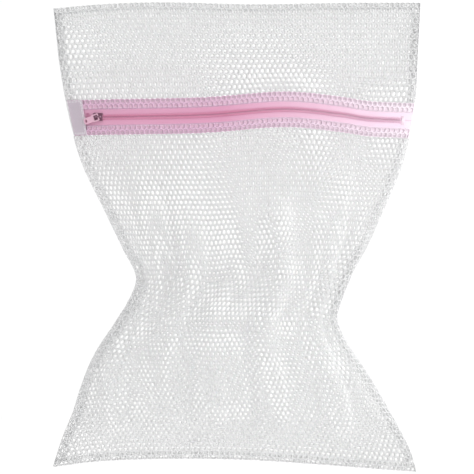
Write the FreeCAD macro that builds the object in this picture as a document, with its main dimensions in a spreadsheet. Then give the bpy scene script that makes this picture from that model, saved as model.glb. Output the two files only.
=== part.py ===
import FreeCAD, Part
import math
import os

import Sketcher
from FreeCAD import Placement, Rotation, Vector

# Mesh laundry bag, 30 x 40 cm, hanging from its top edge with the zip closed.
# X runs across the bag, the front faces -Y, Z is up, and the origin is the middle of the top edge.
# The zip lies on a shallow arc that bulges to the front. Everything on it is drawn in the zip's
# own frame: X along the chain towards the open end, -Y out of the bag, Z up along the tape, with
# the origin on the arc's centre or, for the slider, on the tape's middle plane.

X_AXIS = Vector(1, 0, 0)
Y_AXIS = Vector(0, 1, 0)
Z_AXIS = Vector(0, 0, 1)

DIMENSIONS = [
    ("net_thickness", 1.0, "thickness of one layer of net"),
    ("net_gap", 1.3, "from the seam plane to the middle of a net layer at the seams"),
    ("section_step", 12.0, "height between the cross-sections that a net layer is lofted through"),
    ("seam_width", 6.0, "width of the seam allowance inside the bag"),
    ("seam_thickness", 1.0, "both layers of the allowance with its overlock thread"),
    ("seam_clearance", 0.8, "from the bag's edge line to the allowance"),
    ("seam_start", 0.3, "from the top or bottom edge to the allowance of that seam"),
    ("seam_rounding", 0.3, "rounding of the ends of the top and bottom seams"),
    ("zip_radius", 510.0, "radius of the arc that the zip lies on"),
    ("zip_lean", 5.0, "the zip's tape leans back from the vertical, degrees"),
    ("zip_roll", 0.4, "the zip's open end hangs lower than its closed end, degrees"),
    ("zip_front", 23.6, "how far the middle of the zip stands in front of the seam plane"),
    ("zip_drop", 94.7, "from the top edge down to the middle of the zip"),
    ("tape_left", -136.5, "x of the tape's end at the left seam"),
    ("tape_right", 142.0, "x of the tape's end at the right seam"),
    ("tape_inner", 0.6, "from the centre line to a tape's inner edge"),
    ("tape_width", 13.6, "width of one tape"),
    ("tape_thickness", 0.5, "thickness of a tape"),
    ("coil_left", -120.4, "x of the coil's first turn"),
    ("coil_right", 134.8, "x of the coil's last turn"),
    ("coil_inner", 0.55, "from the centre line to a coil's body"),
    ("coil_width", 1.6, "width of a coil's body"),
    ("coil_height", 1.6, "how far a coil stands off its tape"),
    ("core_width", 0.7, "width of the channel for the core cord"),
    ("core_height", 0.55, "height of the channel for the core cord"),
    ("core_clearance", 0.05, "clearance round a core cord"),
    ("thread_width", 0.4, "width of a row of stitches"),
    ("thread_height", 0.13, "height of a row of stitches"),
    ("hem_inner", 6.6, "from the centre line to a hem's fold"),
    ("hem_width", 8.0, "width of the folded net hem sewn to a tape"),
    ("hem_clearance", 0.05, "between a hem and its tape"),
    ("hem_thickness", 0.85, "thickness of the folded net hem"),
    ("hem_stitch", 0.8, "from a hem's fold to its row of stitches"),
    ("panel_clearance", 0.2, "between a hem and its net panel"),
    ("slider_rest", -113.0, "x of the slider's middle when the zip is closed"),
    ("slider_length", 8.0, "length of the slider"),
    ("slider_width", 7.2, "width of the slider at its two mouths"),
    ("slider_tail", 6.4, "width of the slider at its tail"),
    ("slider_nose", 5.2, "width of the slider across its nose"),
    ("slider_shoulder", 1.0, "length of the slider's sloping shoulders"),
    ("front_plate_gap", 2.2, "from the tape's middle plane to the front plate"),
    ("front_plate", 0.75, "thickness of the front plate"),
    ("back_plate_gap", 0.45, "from the tape's middle plane to the back plate"),
    ("back_plate", 0.7, "thickness of the back plate"),
    ("flange_inner", 2.5, "from the centre line to a flange"),
    ("flange_width", 0.55, "thickness of a flange"),
    ("flange_gap", 0.45, "from the tape's middle plane to a flange"),
    ("wedge_width", 0.8, "width of the wedge that parts the coils"),
    ("wedge_length", 2.4, "length of the wedge"),
    ("wedge_start", 0.4, "from the slider's nose to the wedge"),
    ("bridge_middle", 0.8, "x of the bridge's middle from the slider's middle"),
    ("bridge_span", 4.0, "clear length under the bridge"),
    ("bridge_rise", 1.6, "clear height under the bridge"),
    ("bridge_thickness", 0.7, "thickness of the bridge"),
    ("bridge_width", 1.3, "width of the bridge"),
    ("slider_rounding", 0.22, "rounding of the slider's outer edges"),
    ("tab_length", 12.4, "from the tab's hinge line to its tip"),
    ("tab_width", 5.2, "width of the tab's tongue"),
    ("tab_thickness", 0.8, "thickness of the tab"),
    ("tab_bar", 1.0, "length of the bar that turns under the bridge"),
    ("eye_width", 6.4, "width of the tab's eye"),
    ("eye_length", 4.9, "from the tab's hinge line to the end of its eye"),
    ("window_length", 3.2, "length of the eye's window"),
    ("window_width", 4.0, "width of the eye's window"),
    ("tab_hole_length", 1.3, "length of the oblong hole at the tip"),
    ("tab_hole_width", 2.5, "width of the oblong hole at the tip"),
    ("tab_hole_margin", 1.1, "from the tip to the oblong hole"),
    ("tab_corner", 1.1, "rounding of the tongue's corners"),
    ("tab_rounding", 0.25, "rounding of the tab's edges"),
    ("tab_turn", 18.0, "the tab points this far below the chain, degrees"),
    ("tab_dip", 3.0, "the tab dips this far towards the tape, degrees"),
    ("tack_length", 2.2, "length of an end tack along the chain"),
    ("tack_width", 8.0, "width of an end tack across the chain"),
    ("tack_height", 0.95, "height of an end tack"),
    ("tack_clearance", 0.3, "between an end tack and the coils"),
    ("garage_left", -137.0, "x of the garage's edge at the side seam"),
    ("garage_top", -125.6, "x of the garage's free edge at its top"),
    ("garage_bottom", -120.9, "x of the garage's free edge at its bottom"),
    ("garage_width", 28.6, "height of the garage across the zip"),
    ("garage_gap", 1.45, "from the tape's middle plane to the garage"),
    ("garage_thickness", 0.85, "thickness of the folded garage strip"),
    ("garage_stitch", 1.4, "from the garage's edges to its stitches"),
]

# Cross-sections of the bag from the bottom edge to the top edge. Each one gives its height, the
# x of the left and right edges, how far front and back swell from the seam plane, and how full
# the swell is: 1 is a half ellipse, 0 a parabola.
STATIONS = [
    ("bottom", -386.0, -150.0, 148.0, 0.5, 0.5, 0.3),
    ("foot", -364.0, -144.0, 141.0, 19.0, 20.0, 0.5),
    ("flare", -338.0, -133.9, 127.0, 40.0, 41.0, 0.7),
    ("heap", -300.0, -121.5, 104.5, 59.0, 60.0, 0.9),
    ("low_waist", -261.0, -98.0, 83.0, 66.0, 67.0, 1.0),
    ("waist", -228.0, -81.2, 92.5, 63.0, 64.0, 1.0),
    ("neck", -200.0, -94.1, 107.3, 55.0, 57.0, 0.9),
    ("shoulder", -165.0, -110.3, 122.0, 43.0, 47.0, 0.75),
    ("chest", -130.0, -126.3, 136.0, 32.0, 39.0, 0.6),
    ("chain", -92.0, -137.6, 145.0, 19.0, 30.0, 0.4),
    ("rib", -48.0, -145.0, 148.8, 10.0, 16.0, 0.3),
    ("top", 0.0, -150.4, 151.4, 0.5, 0.5, 0.3),
]
STATION_VALUES = ["height", "left", "right", "front", "back", "full"]
SECTION_STEPS = 12

doc = FreeCAD.newDocument("MeshLaundryBag")
sheet = doc.addObject("Spreadsheet::Sheet", "Dims")
solids = []


def fill_sheet():
    """Write every driving dimension to the sheet, one alias to a row."""
    rows = list(DIMENSIONS)
    for station in STATIONS:
        for value_name, value in zip(STATION_VALUES, station[1:]):
            rows.append((station[0] + "_" + value_name, value, "cross-section " + station[0]))
    for row, (alias, value, note) in enumerate(rows, start=1):
        sheet.set("A%d" % row, alias)
        sheet.set("B%d" % row, str(value))
        sheet.set("C%d" % row, note)
        sheet.setAlias("B%d" % row, alias)
    doc.recompute()


def dim(alias):
    """A driving dimension, read from the sheet."""
    return float(getattr(sheet, alias))


def zip_frame():
    """Frame of the zip's arc: origin on the arc's centre, Z along the tape's width."""
    turn = Rotation(Y_AXIS, dim("zip_roll")) * Rotation(X_AXIS, -dim("zip_lean"))
    middle = Vector(0, -dim("zip_front"), -dim("zip_drop"))
    return Placement(middle + turn.multVec(Vector(0, dim("zip_radius"), 0)), turn)


def zip_angle(x):
    """Angle along the arc, in degrees, of a place that lies x across the bag."""
    return math.degrees(math.asin(x / dim("zip_radius")))


def chain_frame(x):
    """Frame on the tape's middle plane at a place x across the bag."""
    turn = Placement(Vector(), Rotation(Z_AXIS, zip_angle(x)))
    reach = Placement(Vector(0, -dim("zip_radius"), 0), Rotation())
    return zip_frame() * turn * reach


def label(node, name):
    """Name a finished sub-part and list it for export."""
    node.Label = name
    solids.append(node)
    return node


def plane(body, role):
    """One of a body's own origin planes."""
    return next(item for item in body.Origin.OriginFeatures if item.Role == role)


def new_sketch(body, name, role, offset=None):
    """A sketch on one of the body's origin planes, moved along its normal by a formula."""
    sketch = body.newObject("Sketcher::SketchObject", name)
    sketch.AttachmentSupport = [(plane(body, role), "")]
    sketch.MapMode = "FlatFace"
    if offset:
        sketch.setExpression("AttachmentOffset.Base.z", offset)
    return sketch


def bind(sketch, kind, geometry, point, name, formula, value):
    """Hold one coordinate of a sketch point at a formula of the sheet."""
    index = sketch.addConstraint(Sketcher.Constraint(kind, -1, 1, geometry, point, value))
    sketch.renameConstraint(index, name)
    sketch.setExpression("Constraints." + name, formula)


def polygon(sketch, name, corners):
    """Closed outline whose corners are pairs of formulas and their first values."""
    first = sketch.GeometryCount
    count = len(corners)
    points = [Vector(corner[1], corner[3], 0) for corner in corners]
    for index in range(count):
        sketch.addGeometry(Part.LineSegment(points[index], points[(index + 1) % count]))
    for index in range(count):
        following = first + (index + 1) % count
        sketch.addConstraint(Sketcher.Constraint("Coincident", first + index, 2, following, 1))
    for index, (x_formula, x_value, y_formula, y_value) in enumerate(corners):
        place = first + index
        bind(sketch, "DistanceX", place, 1, "%s_x%d" % (name, index), x_formula, x_value)
        bind(sketch, "DistanceY", place, 1, "%s_y%d" % (name, index), y_formula, y_value)


def value_of(formula):
    """First value of a formula: the sheet's own cells stand in for their names."""
    owner = doc.getObject("Scratch")
    if owner is None:
        owner = doc.addObject("App::FeaturePython", "Scratch")
        owner.addProperty("App::PropertyFloat", "Number")
    owner.setExpression("Number", formula)
    owner.recompute()
    return float(owner.Number)


def corner(x_formula, y_formula):
    """A polygon corner given by two formulas of the sheet."""
    return (x_formula, value_of(x_formula), y_formula, value_of(y_formula))


def rectangle(sketch, name, left, right, low, high):
    """Closed rectangle between four formulas of the sheet."""
    corners = [corner(left, low), corner(right, low), corner(right, high), corner(left, high)]
    polygon(sketch, name, corners)


def pad(body, sketch, name, length, symmetric=False):
    """Pad a sketch by a formula, to one side or evenly to both."""
    feature = body.newObject("PartDesign::Pad", name)
    feature.Profile = sketch
    feature.setExpression("Length", length)
    if symmetric:
        feature.SideType = "Symmetric"
    doc.recompute()
    return feature


def pocket(body, sketch, name):
    """Cut a sketch right through the body."""
    before = body.Shape.Volume
    feature = body.newObject("PartDesign::Pocket", name)
    feature.Profile = sketch
    feature.Type = "ThroughAll"
    feature.SideType = "Symmetric"
    doc.recompute()
    if body.Shape.Volume >= before:
        raise RuntimeError(name + " cuts nothing")
    return feature


def fillet(body, name, radius, chosen):
    """Round the edges of the body's last feature that a test picks out."""
    tip = body.Tip
    edges = ["Edge%d" % (index + 1) for index, edge in enumerate(tip.Shape.Edges) if chosen(edge)]
    feature = body.newObject("PartDesign::Fillet", name)
    feature.Base = (tip, edges)
    feature.setExpression("Radius", radius)
    doc.recompute()
    return feature


def band(name, inner, outer, start, width, left, right, channel=None):
    """A strip that follows the zip's arc, from one x to another across the bag.

    inner and outer are distances in front of the tape's middle plane, start and width lie along
    the tape's width. A channel, given the same way, leaves a hole along the strip.
    """
    body = doc.addObject("PartDesign::Body", name)
    sketch = new_sketch(body, name + "_section", "XZ_Plane")
    radius = "Dims.zip_radius + "
    rectangle(sketch, "outline", radius + inner, radius + outer, start, start + " + " + width)
    if channel:
        rectangle(sketch, "channel", radius + channel[0], radius + channel[1], *channel[2:])
    turn = body.newObject("PartDesign::Revolution", name + "_turn")
    turn.Profile = sketch
    turn.ReferenceAxis = (sketch, ["V_Axis"])
    first = "asin((%s) / Dims.zip_radius)" % left
    last = "asin((%s) / Dims.zip_radius)" % right
    turn.setExpression("Angle", "%s - %s" % (last, first))
    doc.recompute()
    if body.Shape.BoundBox.YMax < abs(body.Shape.BoundBox.YMin):
        turn.Reversed = True
    start_turn = zip_angle(value_of(left)) - 90
    body.Placement = zip_frame() * Placement(Vector(), Rotation(Z_AXIS, start_turn))
    doc.recompute()
    return label(body, name)


def side_of(upper):
    """Prefix of a node name and sign of its formulas: above or below the centre line."""
    return ("upper", "") if upper else ("lower", "-1 * ")


def strip_start(upper, inner, width):
    """Formula of a strip's lower edge, given its distance from the centre line."""
    if upper:
        return inner
    return "-1 * (%s + %s)" % (inner, width)


def make_zip_strips(upper):
    """Tape, coil, core cord, coil stitches, hem and hem stitches of one side of the zip."""
    side = side_of(upper)[0]
    half_tape = "Dims.tape_thickness / 2"
    tape_ends = ("Dims.tape_left", "Dims.tape_right")
    coil_ends = ("Dims.coil_left", "Dims.coil_right")
    band(side + "_tape", "-1 * " + half_tape, half_tape,
         strip_start(upper, "Dims.tape_inner", "Dims.tape_width"), "Dims.tape_width", *tape_ends)

    # The core cord runs in a channel through the middle of the coil.
    coil_front = half_tape + " + Dims.coil_height"
    core_low = "(Dims.coil_inner + (Dims.coil_width - Dims.core_width) / 2)"
    core_back = "(Dims.coil_height - Dims.core_height) / 2 + " + half_tape
    core_start = strip_start(upper, core_low, "Dims.core_width")
    channel = (core_back, core_back + " + Dims.core_height",
               core_start, core_start + " + Dims.core_width")
    band(side + "_coil", half_tape, coil_front,
         strip_start(upper, "Dims.coil_inner", "Dims.coil_width"), "Dims.coil_width",
         *coil_ends, channel=channel)
    band(side + "_core_cord", core_back + " + Dims.core_clearance",
         core_back + " + Dims.core_height - Dims.core_clearance",
         core_start + " + Dims.core_clearance", "Dims.core_width - 2 * Dims.core_clearance",
         *coil_ends)
    thread_low = "(Dims.coil_inner + (Dims.coil_width - Dims.thread_width) / 2)"
    band(side + "_coil_stitching", coil_front, coil_front + " + Dims.thread_height",
         strip_start(upper, thread_low, "Dims.thread_width"), "Dims.thread_width", *coil_ends)

    hem_back = half_tape + " + Dims.hem_clearance"
    hem_front = hem_back + " + Dims.hem_thickness"
    hem_ends = ("Dims.tape_left", "Dims.tape_right")
    band(side + "_hem", hem_back, hem_front,
         strip_start(upper, "Dims.hem_inner", "Dims.hem_width"), "Dims.hem_width", *hem_ends)
    stitch_low = "(Dims.hem_inner + Dims.hem_stitch)"
    band(side + "_hem_stitching", hem_front, hem_front + " + Dims.thread_height",
         strip_start(upper, stitch_low, "Dims.thread_width"), "Dims.thread_width", *hem_ends)


def make_end_tack(name, left, right):
    """Bar tack sewn across both coils at one end of the chain."""
    half_tape = "Dims.tape_thickness / 2"
    band(name, half_tape, half_tape + " + Dims.tack_height",
         "-1 * Dims.tack_width / 2", "Dims.tack_width", left, right)


def make_garage():
    """Folded strip over the closed end of the zip, and its stitches."""
    body = doc.addObject("PartDesign::Body", "slider_garage")
    sketch = new_sketch(body, "garage_outline", "XZ_Plane", "Dims.garage_gap")
    half = "Dims.garage_width / 2"
    corners = [
        corner("0", "-1 * " + half),
        corner("Dims.garage_bottom - Dims.garage_left", "-1 * " + half),
        corner("Dims.garage_top - Dims.garage_left", half),
        corner("0", half),
    ]
    polygon(sketch, "outline", corners)
    pad(body, sketch, "garage_fold", "Dims.garage_thickness")
    body.Placement = chain_frame(dim("garage_left"))
    label(body, "slider_garage")

    rows = doc.addObject("PartDesign::Body", "garage_stitching")
    sketch = new_sketch(rows, "stitch_rows", "XZ_Plane", "Dims.garage_gap + Dims.garage_thickness")
    inset = "Dims.garage_stitch"
    width = "Dims.thread_width"
    top_end = "Dims.garage_top - Dims.garage_left - " + inset
    bottom_end = "Dims.garage_bottom - Dims.garage_left - " + inset
    low = "-1 * Dims.garage_width / 2 + " + inset
    high = "Dims.garage_width / 2 - " + inset
    corners = [
        corner(inset, low),
        corner(bottom_end, low),
        corner(top_end, high),
        corner(inset, high),
        corner(inset, high + " - " + width),
        corner(top_end + " - " + width, high + " - " + width),
        corner(bottom_end + " - " + width, low + " + " + width),
        corner(inset, low + " + " + width),
    ]
    polygon(sketch, "rows", corners)
    pad(rows, sketch, "stitch_height", "Dims.thread_height")
    rows.Placement = chain_frame(dim("garage_left"))
    label(rows, "garage_stitching")


def plate_outline(sketch, name):
    """The slider's outline: narrow nose, wide shoulders at the two mouths, narrower tail."""
    half = "Dims.slider_length / 2"
    front = "-1 * " + half
    shoulder = "Dims.slider_shoulder - " + half
    nose = "Dims.slider_nose / 2"
    wide = "Dims.slider_width / 2"
    tail = "Dims.slider_tail / 2"
    corners = [
        corner(front, "-1 * " + nose),
        corner(shoulder, "-1 * " + wide),
        corner(half, "-1 * " + tail),
        corner(half, tail),
        corner(shoulder, wide),
        corner(front, nose),
    ]
    polygon(sketch, name, corners)


def make_slider():
    """Slider: two plates joined by the wedge, flanges that hold the coils, and the bridge."""
    body = doc.addObject("PartDesign::Body", "slider_body")
    back_face = "-1 * (Dims.back_plate_gap + Dims.back_plate)"
    back = new_sketch(body, "back_plate_outline", "XZ_Plane", back_face)
    plate_outline(back, "back")
    pad(body, back, "back_plate_pad", "Dims.back_plate")

    # The wedge joins the plates between the coils.
    post = new_sketch(body, "wedge_outline", "XZ_Plane", back_face)
    tip = "Dims.wedge_start - Dims.slider_length / 2"
    half_wedge = "Dims.wedge_width / 2"
    wide_place = tip + " + Dims.wedge_length / 3"
    wedge_corners = [
        corner(tip, "0"),
        corner(wide_place, "-1 * " + half_wedge),
        corner(tip + " + Dims.wedge_length", "0"),
        corner(wide_place, half_wedge),
    ]
    polygon(post, "wedge", wedge_corners)
    pad(body, post, "wedge_pad", "Dims.back_plate + Dims.back_plate_gap + Dims.front_plate_gap")

    front = new_sketch(body, "front_plate_outline", "XZ_Plane", "Dims.front_plate_gap")
    plate_outline(front, "front")
    pad(body, front, "front_plate_pad", "Dims.front_plate")

    # A flange under each long side of the front plate.
    half = "Dims.slider_length / 2"
    flange_depth = "Dims.front_plate_gap - Dims.flange_gap"
    for side, sign in (("upper", 1), ("lower", -1)):
        flange = new_sketch(body, side + "_flange_outline", "XZ_Plane", "Dims.flange_gap")
        near = "%d * Dims.flange_inner" % sign
        far = "%d * (Dims.flange_inner + Dims.flange_width)" % sign
        rectangle(flange, side, "Dims.slider_shoulder - " + half, half, near, far)
        pad(body, flange, side + "_flange_pad", flange_depth)

    # The bridge stands on the front plate, seen here from above.
    arch = new_sketch(body, "bridge_outline", "XY_Plane")
    reach = "(Dims.bridge_span / 2 + Dims.bridge_thickness)"
    inner = "Dims.bridge_span / 2"
    foot = "-1 * (Dims.front_plate_gap + Dims.front_plate / 2)"
    under = "-1 * (Dims.front_plate_gap + Dims.front_plate + Dims.bridge_rise)"
    crown = under + " - Dims.bridge_thickness"
    slope = "Dims.bridge_thickness"
    middle = "Dims.bridge_middle"
    arch_corners = [
        corner(middle + " - " + reach, foot),
        corner(middle + " - " + inner, foot),
        corner(middle + " - " + inner, under + " + " + slope + " / 2"),
        corner(middle + " - " + inner + " + " + slope + " / 2", under),
        corner(middle + " + " + inner + " - " + slope + " / 2", under),
        corner(middle + " + " + inner, under + " + " + slope + " / 2"),
        corner(middle + " + " + inner, foot),
        corner(middle + " + " + reach, foot),
        corner(middle + " + " + reach, crown + " + " + slope),
        corner(middle + " + " + reach + " - " + slope, crown),
        corner(middle + " - " + reach + " + " + slope, crown),
        corner(middle + " - " + reach, crown + " + " + slope),
    ]
    polygon(arch, "arch", arch_corners)
    pad(body, arch, "bridge_pad", "Dims.bridge_width", symmetric=True)

    front_face = -(dim("front_plate_gap") + dim("front_plate"))
    back_plane = dim("back_plate_gap") + dim("back_plate")
    half_bridge = dim("bridge_width") / 2

    def outer_edge(edge):
        """Rims of the two plates and long edges of the bridge's outside."""
        box = edge.BoundBox
        flat = box.YLength < 1e-6
        on_front = flat and abs(box.YMin - front_face) < 1e-6
        on_back = flat and abs(box.YMin - back_plane) < 1e-6
        on_foot = on_front and max(abs(box.ZMin), abs(box.ZMax)) < half_bridge + 1e-6
        on_top = box.YMax < front_face - dim("bridge_rise") - 1e-6 and box.ZLength < 1e-6
        return (on_front and not on_foot) or on_back or on_top

    fillet(body, "slider_edges", "Dims.slider_rounding", outer_edge)
    body.Placement = chain_frame(dim("slider_rest"))
    label(body, "slider_body")


def make_pull_tab():
    """Pull tab: a bar under the bridge, an eye round it and a tongue with an oblong hole."""
    body = doc.addObject("PartDesign::Body", "pull_tab")
    sketch = new_sketch(body, "tab_outline", "XZ_Plane")
    bar_end = "Dims.tab_bar / 2"
    eye_end = "-1 * Dims.eye_length"
    neck = "-1 * (Dims.eye_length + Dims.tab_bar)"
    tip = "-1 * Dims.tab_length"
    eye = "Dims.eye_width / 2"
    tongue = "Dims.tab_width / 2"
    chamfer = "Dims.tab_bar / 2"
    corners = [
        corner(bar_end, "-1 * (" + eye + " - " + chamfer + ")"),
        corner(bar_end, eye + " - " + chamfer),
        corner(bar_end + " - " + chamfer, eye),
        corner(eye_end, eye),
        corner(neck, tongue),
        corner(tip, tongue),
        corner(tip, "-1 * " + tongue),
        corner(neck, "-1 * " + tongue),
        corner(eye_end, "-1 * " + eye),
        corner(bar_end + " - " + chamfer, "-1 * " + eye),
    ]
    polygon(sketch, "tab", corners)
    pad(body, sketch, "tab_plate", "Dims.tab_thickness", symmetric=True)

    window = new_sketch(body, "window_outline", "XZ_Plane")
    window_end = "-1 * (Dims.tab_bar / 2 + Dims.window_length)"
    half_window = "Dims.window_width / 2"
    rectangle(window, "window", window_end, "-1 * Dims.tab_bar / 2",
              "-1 * " + half_window, half_window)
    pocket(body, window, "tab_window")

    hole = new_sketch(body, "hole_outline", "XZ_Plane")
    hole_low = "Dims.tab_hole_margin - Dims.tab_length"
    half_hole = "Dims.tab_hole_width / 2"
    rectangle(hole, "hole", hole_low, hole_low + " + Dims.tab_hole_length",
              "-1 * " + half_hole, half_hole)
    pocket(body, hole, "tab_hole")

    def tip_corner(edge):
        """The two corners at the tip, seen through the tab's thickness."""
        box = edge.BoundBox
        at_tip = abs(box.XMin + dim("tab_length")) < 1e-6 and box.XLength < 1e-6
        return at_tip and box.ZLength < 1e-6

    def hole_corner(edge):
        """The four corners of the oblong hole."""
        box = edge.BoundBox
        start = dim("tab_hole_margin") - dim("tab_length")
        inside = start - 1e-6 < box.XMin < start + dim("tab_hole_length") + 1e-6
        return inside and box.XLength < 1e-6 and box.ZLength < 1e-6

    def face_edge(edge):
        """Every edge of the tab's two faces."""
        box = edge.BoundBox
        return box.YLength < 1e-6

    fillet(body, "tongue_corners", "Dims.tab_corner", tip_corner)
    fillet(body, "hole_corners", "Dims.tab_hole_length * 0.4", hole_corner)
    fillet(body, "tab_edges", "Dims.tab_rounding", face_edge)

    hinge_height = dim("front_plate_gap") + dim("front_plate") + dim("bridge_rise") / 2
    hinge = Placement(Vector(dim("bridge_middle"), -hinge_height, 0), Rotation())
    turn = Placement(Vector(), Rotation(Y_AXIS, -dim("tab_turn")))
    dip = Placement(Vector(), Rotation(Z_AXIS, -dim("tab_dip")))
    body.Placement = chain_frame(dim("slider_rest")) * hinge * turn * dip
    label(body, "pull_tab")


def profile(value_name, height):
    """One value of the cross-sections at any height, on a smooth curve through the stations."""
    heights = [dim(values[0] + "_height") for values in STATIONS]
    values = [dim(values[0] + "_" + value_name) for values in STATIONS]
    slopes = []
    for index in range(len(heights)):
        low = max(index - 1, 0)
        high = min(index + 1, len(heights) - 1)
        slopes.append((values[high] - values[low]) / (heights[high] - heights[low]))
    index = max(place for place in range(len(heights) - 1) if heights[place] <= height + 1e-9)
    span = heights[index + 1] - heights[index]
    share = (height - heights[index]) / span
    ease = share * share * (3 - 2 * share)
    leave = share * (1 - share) ** 2 * span * slopes[index]
    arrive = share * share * (share - 1) * span * slopes[index + 1]
    return values[index] + (values[index + 1] - values[index]) * ease + leave + arrive


def cross_section(height):
    """The values of the cross-section at a height."""
    values = {name: profile(name, height) for name in ("left", "right", "front", "back", "full")}
    values["height"] = height
    return values


def even_heights(low, high):
    """Evenly spaced heights about one section step apart, both ends included."""
    count = round((high - low) / dim("section_step"))
    return [low + (high - low) * index / count for index in range(count + 1)]


def curve(points):
    """Smooth curve through points, as an edge."""
    spline = Part.BSplineCurve()
    spline.interpolate(points)
    return spline.toShape()


def closed_section(outer, inner):
    """Closed wire of two curves and the short lines that join their ends."""
    far = Part.LineSegment(outer[-1], inner[-1]).toShape()
    near = Part.LineSegment(inner[0], outer[0]).toShape()
    return Part.Wire([curve(outer), far, curve(inner[::-1]), near])


def thick_section(middle, outward):
    """Section of a net layer from its middle line and the outward direction at each point."""
    half = dim("net_thickness") / 2
    outer = [place + out * half for place, out in zip(middle, outward)]
    inner = [place - out * half for place, out in zip(middle, outward)]
    return closed_section(outer, inner)


def swell_section(values, swell, facing):
    """Section of one net layer at a height. facing is -1 for the front and 1 for the back."""
    centre = (values["left"] + values["right"]) / 2
    half = (values["right"] - values["left"]) / 2
    full = values["full"]
    middle = []
    outward = []
    for step in range(SECTION_STEPS + 1):
        angle = math.pi * step / SECTION_STEPS
        bulge = full * math.sin(angle) + (1 - full) * math.sin(angle) ** 2
        slope = full * math.cos(angle) + (1 - full) * math.sin(2 * angle)
        depth = dim("net_gap") + swell * bulge
        middle.append(Vector(centre - half * math.cos(angle), facing * depth, values["height"]))
        outward.append(Vector(-swell * slope, facing * half * math.sin(angle), 0).normalize())
    # The ends are cut at a slant to the seam plane.
    outward[0] = Vector(-1, facing, 0).normalize()
    outward[-1] = Vector(1, facing, 0).normalize()
    return thick_section(middle, outward)


def zip_section(left, right, along_tape):
    """Section of a front layer where it meets a hem, on the zip's own arc."""
    frame = zip_frame()
    gap = dim("tape_thickness") / 2 + dim("hem_clearance")
    radius = dim("zip_radius") + gap + dim("net_thickness") / 2
    first = zip_angle(left)
    last = zip_angle(right)
    middle = []
    outward = []
    for step in range(SECTION_STEPS + 1):
        share = (1 - math.cos(math.pi * step / SECTION_STEPS)) / 2
        turn = math.radians(first + (last - first) * share)
        out = Vector(math.sin(turn), -math.cos(turn), 0)
        middle.append(out * radius + Vector(0, 0, along_tape))
        outward.append(out)
    outward[0] = Vector(-1, -1, 0).normalize()
    outward[-1] = Vector(1, -1, 0).normalize()
    middle = [frame.multVec(place) for place in middle]
    outward = [frame.Rotation.multVec(out) for out in outward]
    return thick_section(middle, outward)


def net_panel(name, sections):
    """A layer of net lofted through its sections."""
    node = doc.addObject("Part::Feature", name)
    node.Shape = Part.makeLoft(sections, True, False)
    return label(node, name)


def make_net_panels():
    """The back panel and the two front panels, which meet the hems of the zip."""
    low = dim("bottom_height")
    back = []
    for height in even_heights(low, 0):
        values = cross_section(height)
        back.append(swell_section(values, values["back"], 1))
    net_panel("back_panel", back)

    edge = dim("hem_inner") + dim("hem_width") + dim("panel_clearance")
    below = []
    for height in even_heights(low, dim("chest_height")):
        values = cross_section(height)
        below.append(swell_section(values, values["front"], -1))
    meeting = cross_section(dim("chain_height") - edge)
    below.append(zip_section(meeting["left"], meeting["right"], -edge))
    net_panel("front_lower_panel", below)

    meeting = cross_section(dim("chain_height") + edge)
    above = [zip_section(meeting["left"], meeting["right"], edge)]
    for height in even_heights(dim("rib_height"), 0):
        values = cross_section(height)
        above.append(swell_section(values, values["front"], -1))
    net_panel("front_upper_panel", above)


def side_points(side, inset):
    """Points of a side edge between the top and bottom seams, moved in by an inset."""
    inward = 1 if side == "left" else -1
    clear = dim("seam_start") * 2 + dim("seam_width")
    points = []
    for height in even_heights(dim("bottom_height") + clear, -clear):
        points.append(Vector(profile(side, height) + inward * inset, 0, height))
    return points


def make_side_seam(side):
    """Seam allowance along one side edge, inside the bag."""
    edge = side_points(side, dim("seam_clearance"))
    inner = side_points(side, dim("seam_clearance") + dim("seam_width"))
    outline = closed_section(edge, inner)
    thickness = dim("seam_thickness")
    strip = Part.Face(outline).extrude(Vector(0, thickness, 0))
    node = doc.addObject("Part::Feature", side + "_side_seam")
    node.Shape = strip
    node.Placement = Placement(Vector(0, -thickness / 2, 0), Rotation())
    return label(node, side + "_side_seam")


def make_cross_seam(name, edge, inward):
    """Seam allowance along the top or bottom edge: a flat bar with rounded ends."""
    body = doc.addObject("PartDesign::Body", name)
    sketch = new_sketch(body, name + "_outline", "XZ_Plane")
    left = "Dims.%s_left + Dims.seam_clearance" % edge
    right = "Dims.%s_right - Dims.seam_clearance" % edge
    near = "Dims.%s_height + %d * Dims.seam_start" % (edge, inward)
    far = near + " + %d * Dims.seam_width" % inward
    rectangle(sketch, "strip", left, right, near, far)
    pad(body, sketch, name + "_pad", "Dims.seam_thickness", symmetric=True)

    def upright(edge_shape):
        """Corner edges through the strip's thickness."""
        box = edge_shape.BoundBox
        return box.XLength < 1e-6 and box.ZLength < 1e-6

    fillet(body, name + "_corners", "Dims.seam_rounding", upright)
    return label(body, name)


def check_document():
    """Stop if any object failed or any sub-part is not one closed valid solid."""
    doc.recompute()
    for item in doc.Objects:
        if "Invalid" in item.State or "Error" in item.State:
            raise RuntimeError("%s failed: %s" % (item.Name, item.State))
    for node in solids:
        shape = node.Shape
        if shape.isNull() or not shape.isValid() or not shape.Solids:
            raise RuntimeError(node.Label + " has no valid solid")
        print("%-24s solids %d volume %10.2f" % (node.Label, len(shape.Solids), shape.Volume))


fill_sheet()
make_net_panels()
for upper_side in (True, False):
    make_zip_strips(upper_side)
make_end_tack("closed_end_tack", "Dims.coil_left - Dims.tack_clearance - Dims.tack_length",
              "Dims.coil_left - Dims.tack_clearance")
make_end_tack("open_end_tack", "Dims.coil_right + Dims.tack_clearance",
              "Dims.coil_right + Dims.tack_clearance + Dims.tack_length")
make_garage()
make_slider()
make_pull_tab()
make_side_seam("left")
make_side_seam("right")
make_cross_seam("top_seam", "top", -1)
make_cross_seam("bottom_seam", "bottom", 1)
if doc.getObject("Scratch"):
    doc.removeObject("Scratch")
check_document()

os.makedirs("parts", exist_ok=True)
for solid in solids:
    solid.Shape.exportStep(os.path.join("parts", solid.Label + ".step"))
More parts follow.
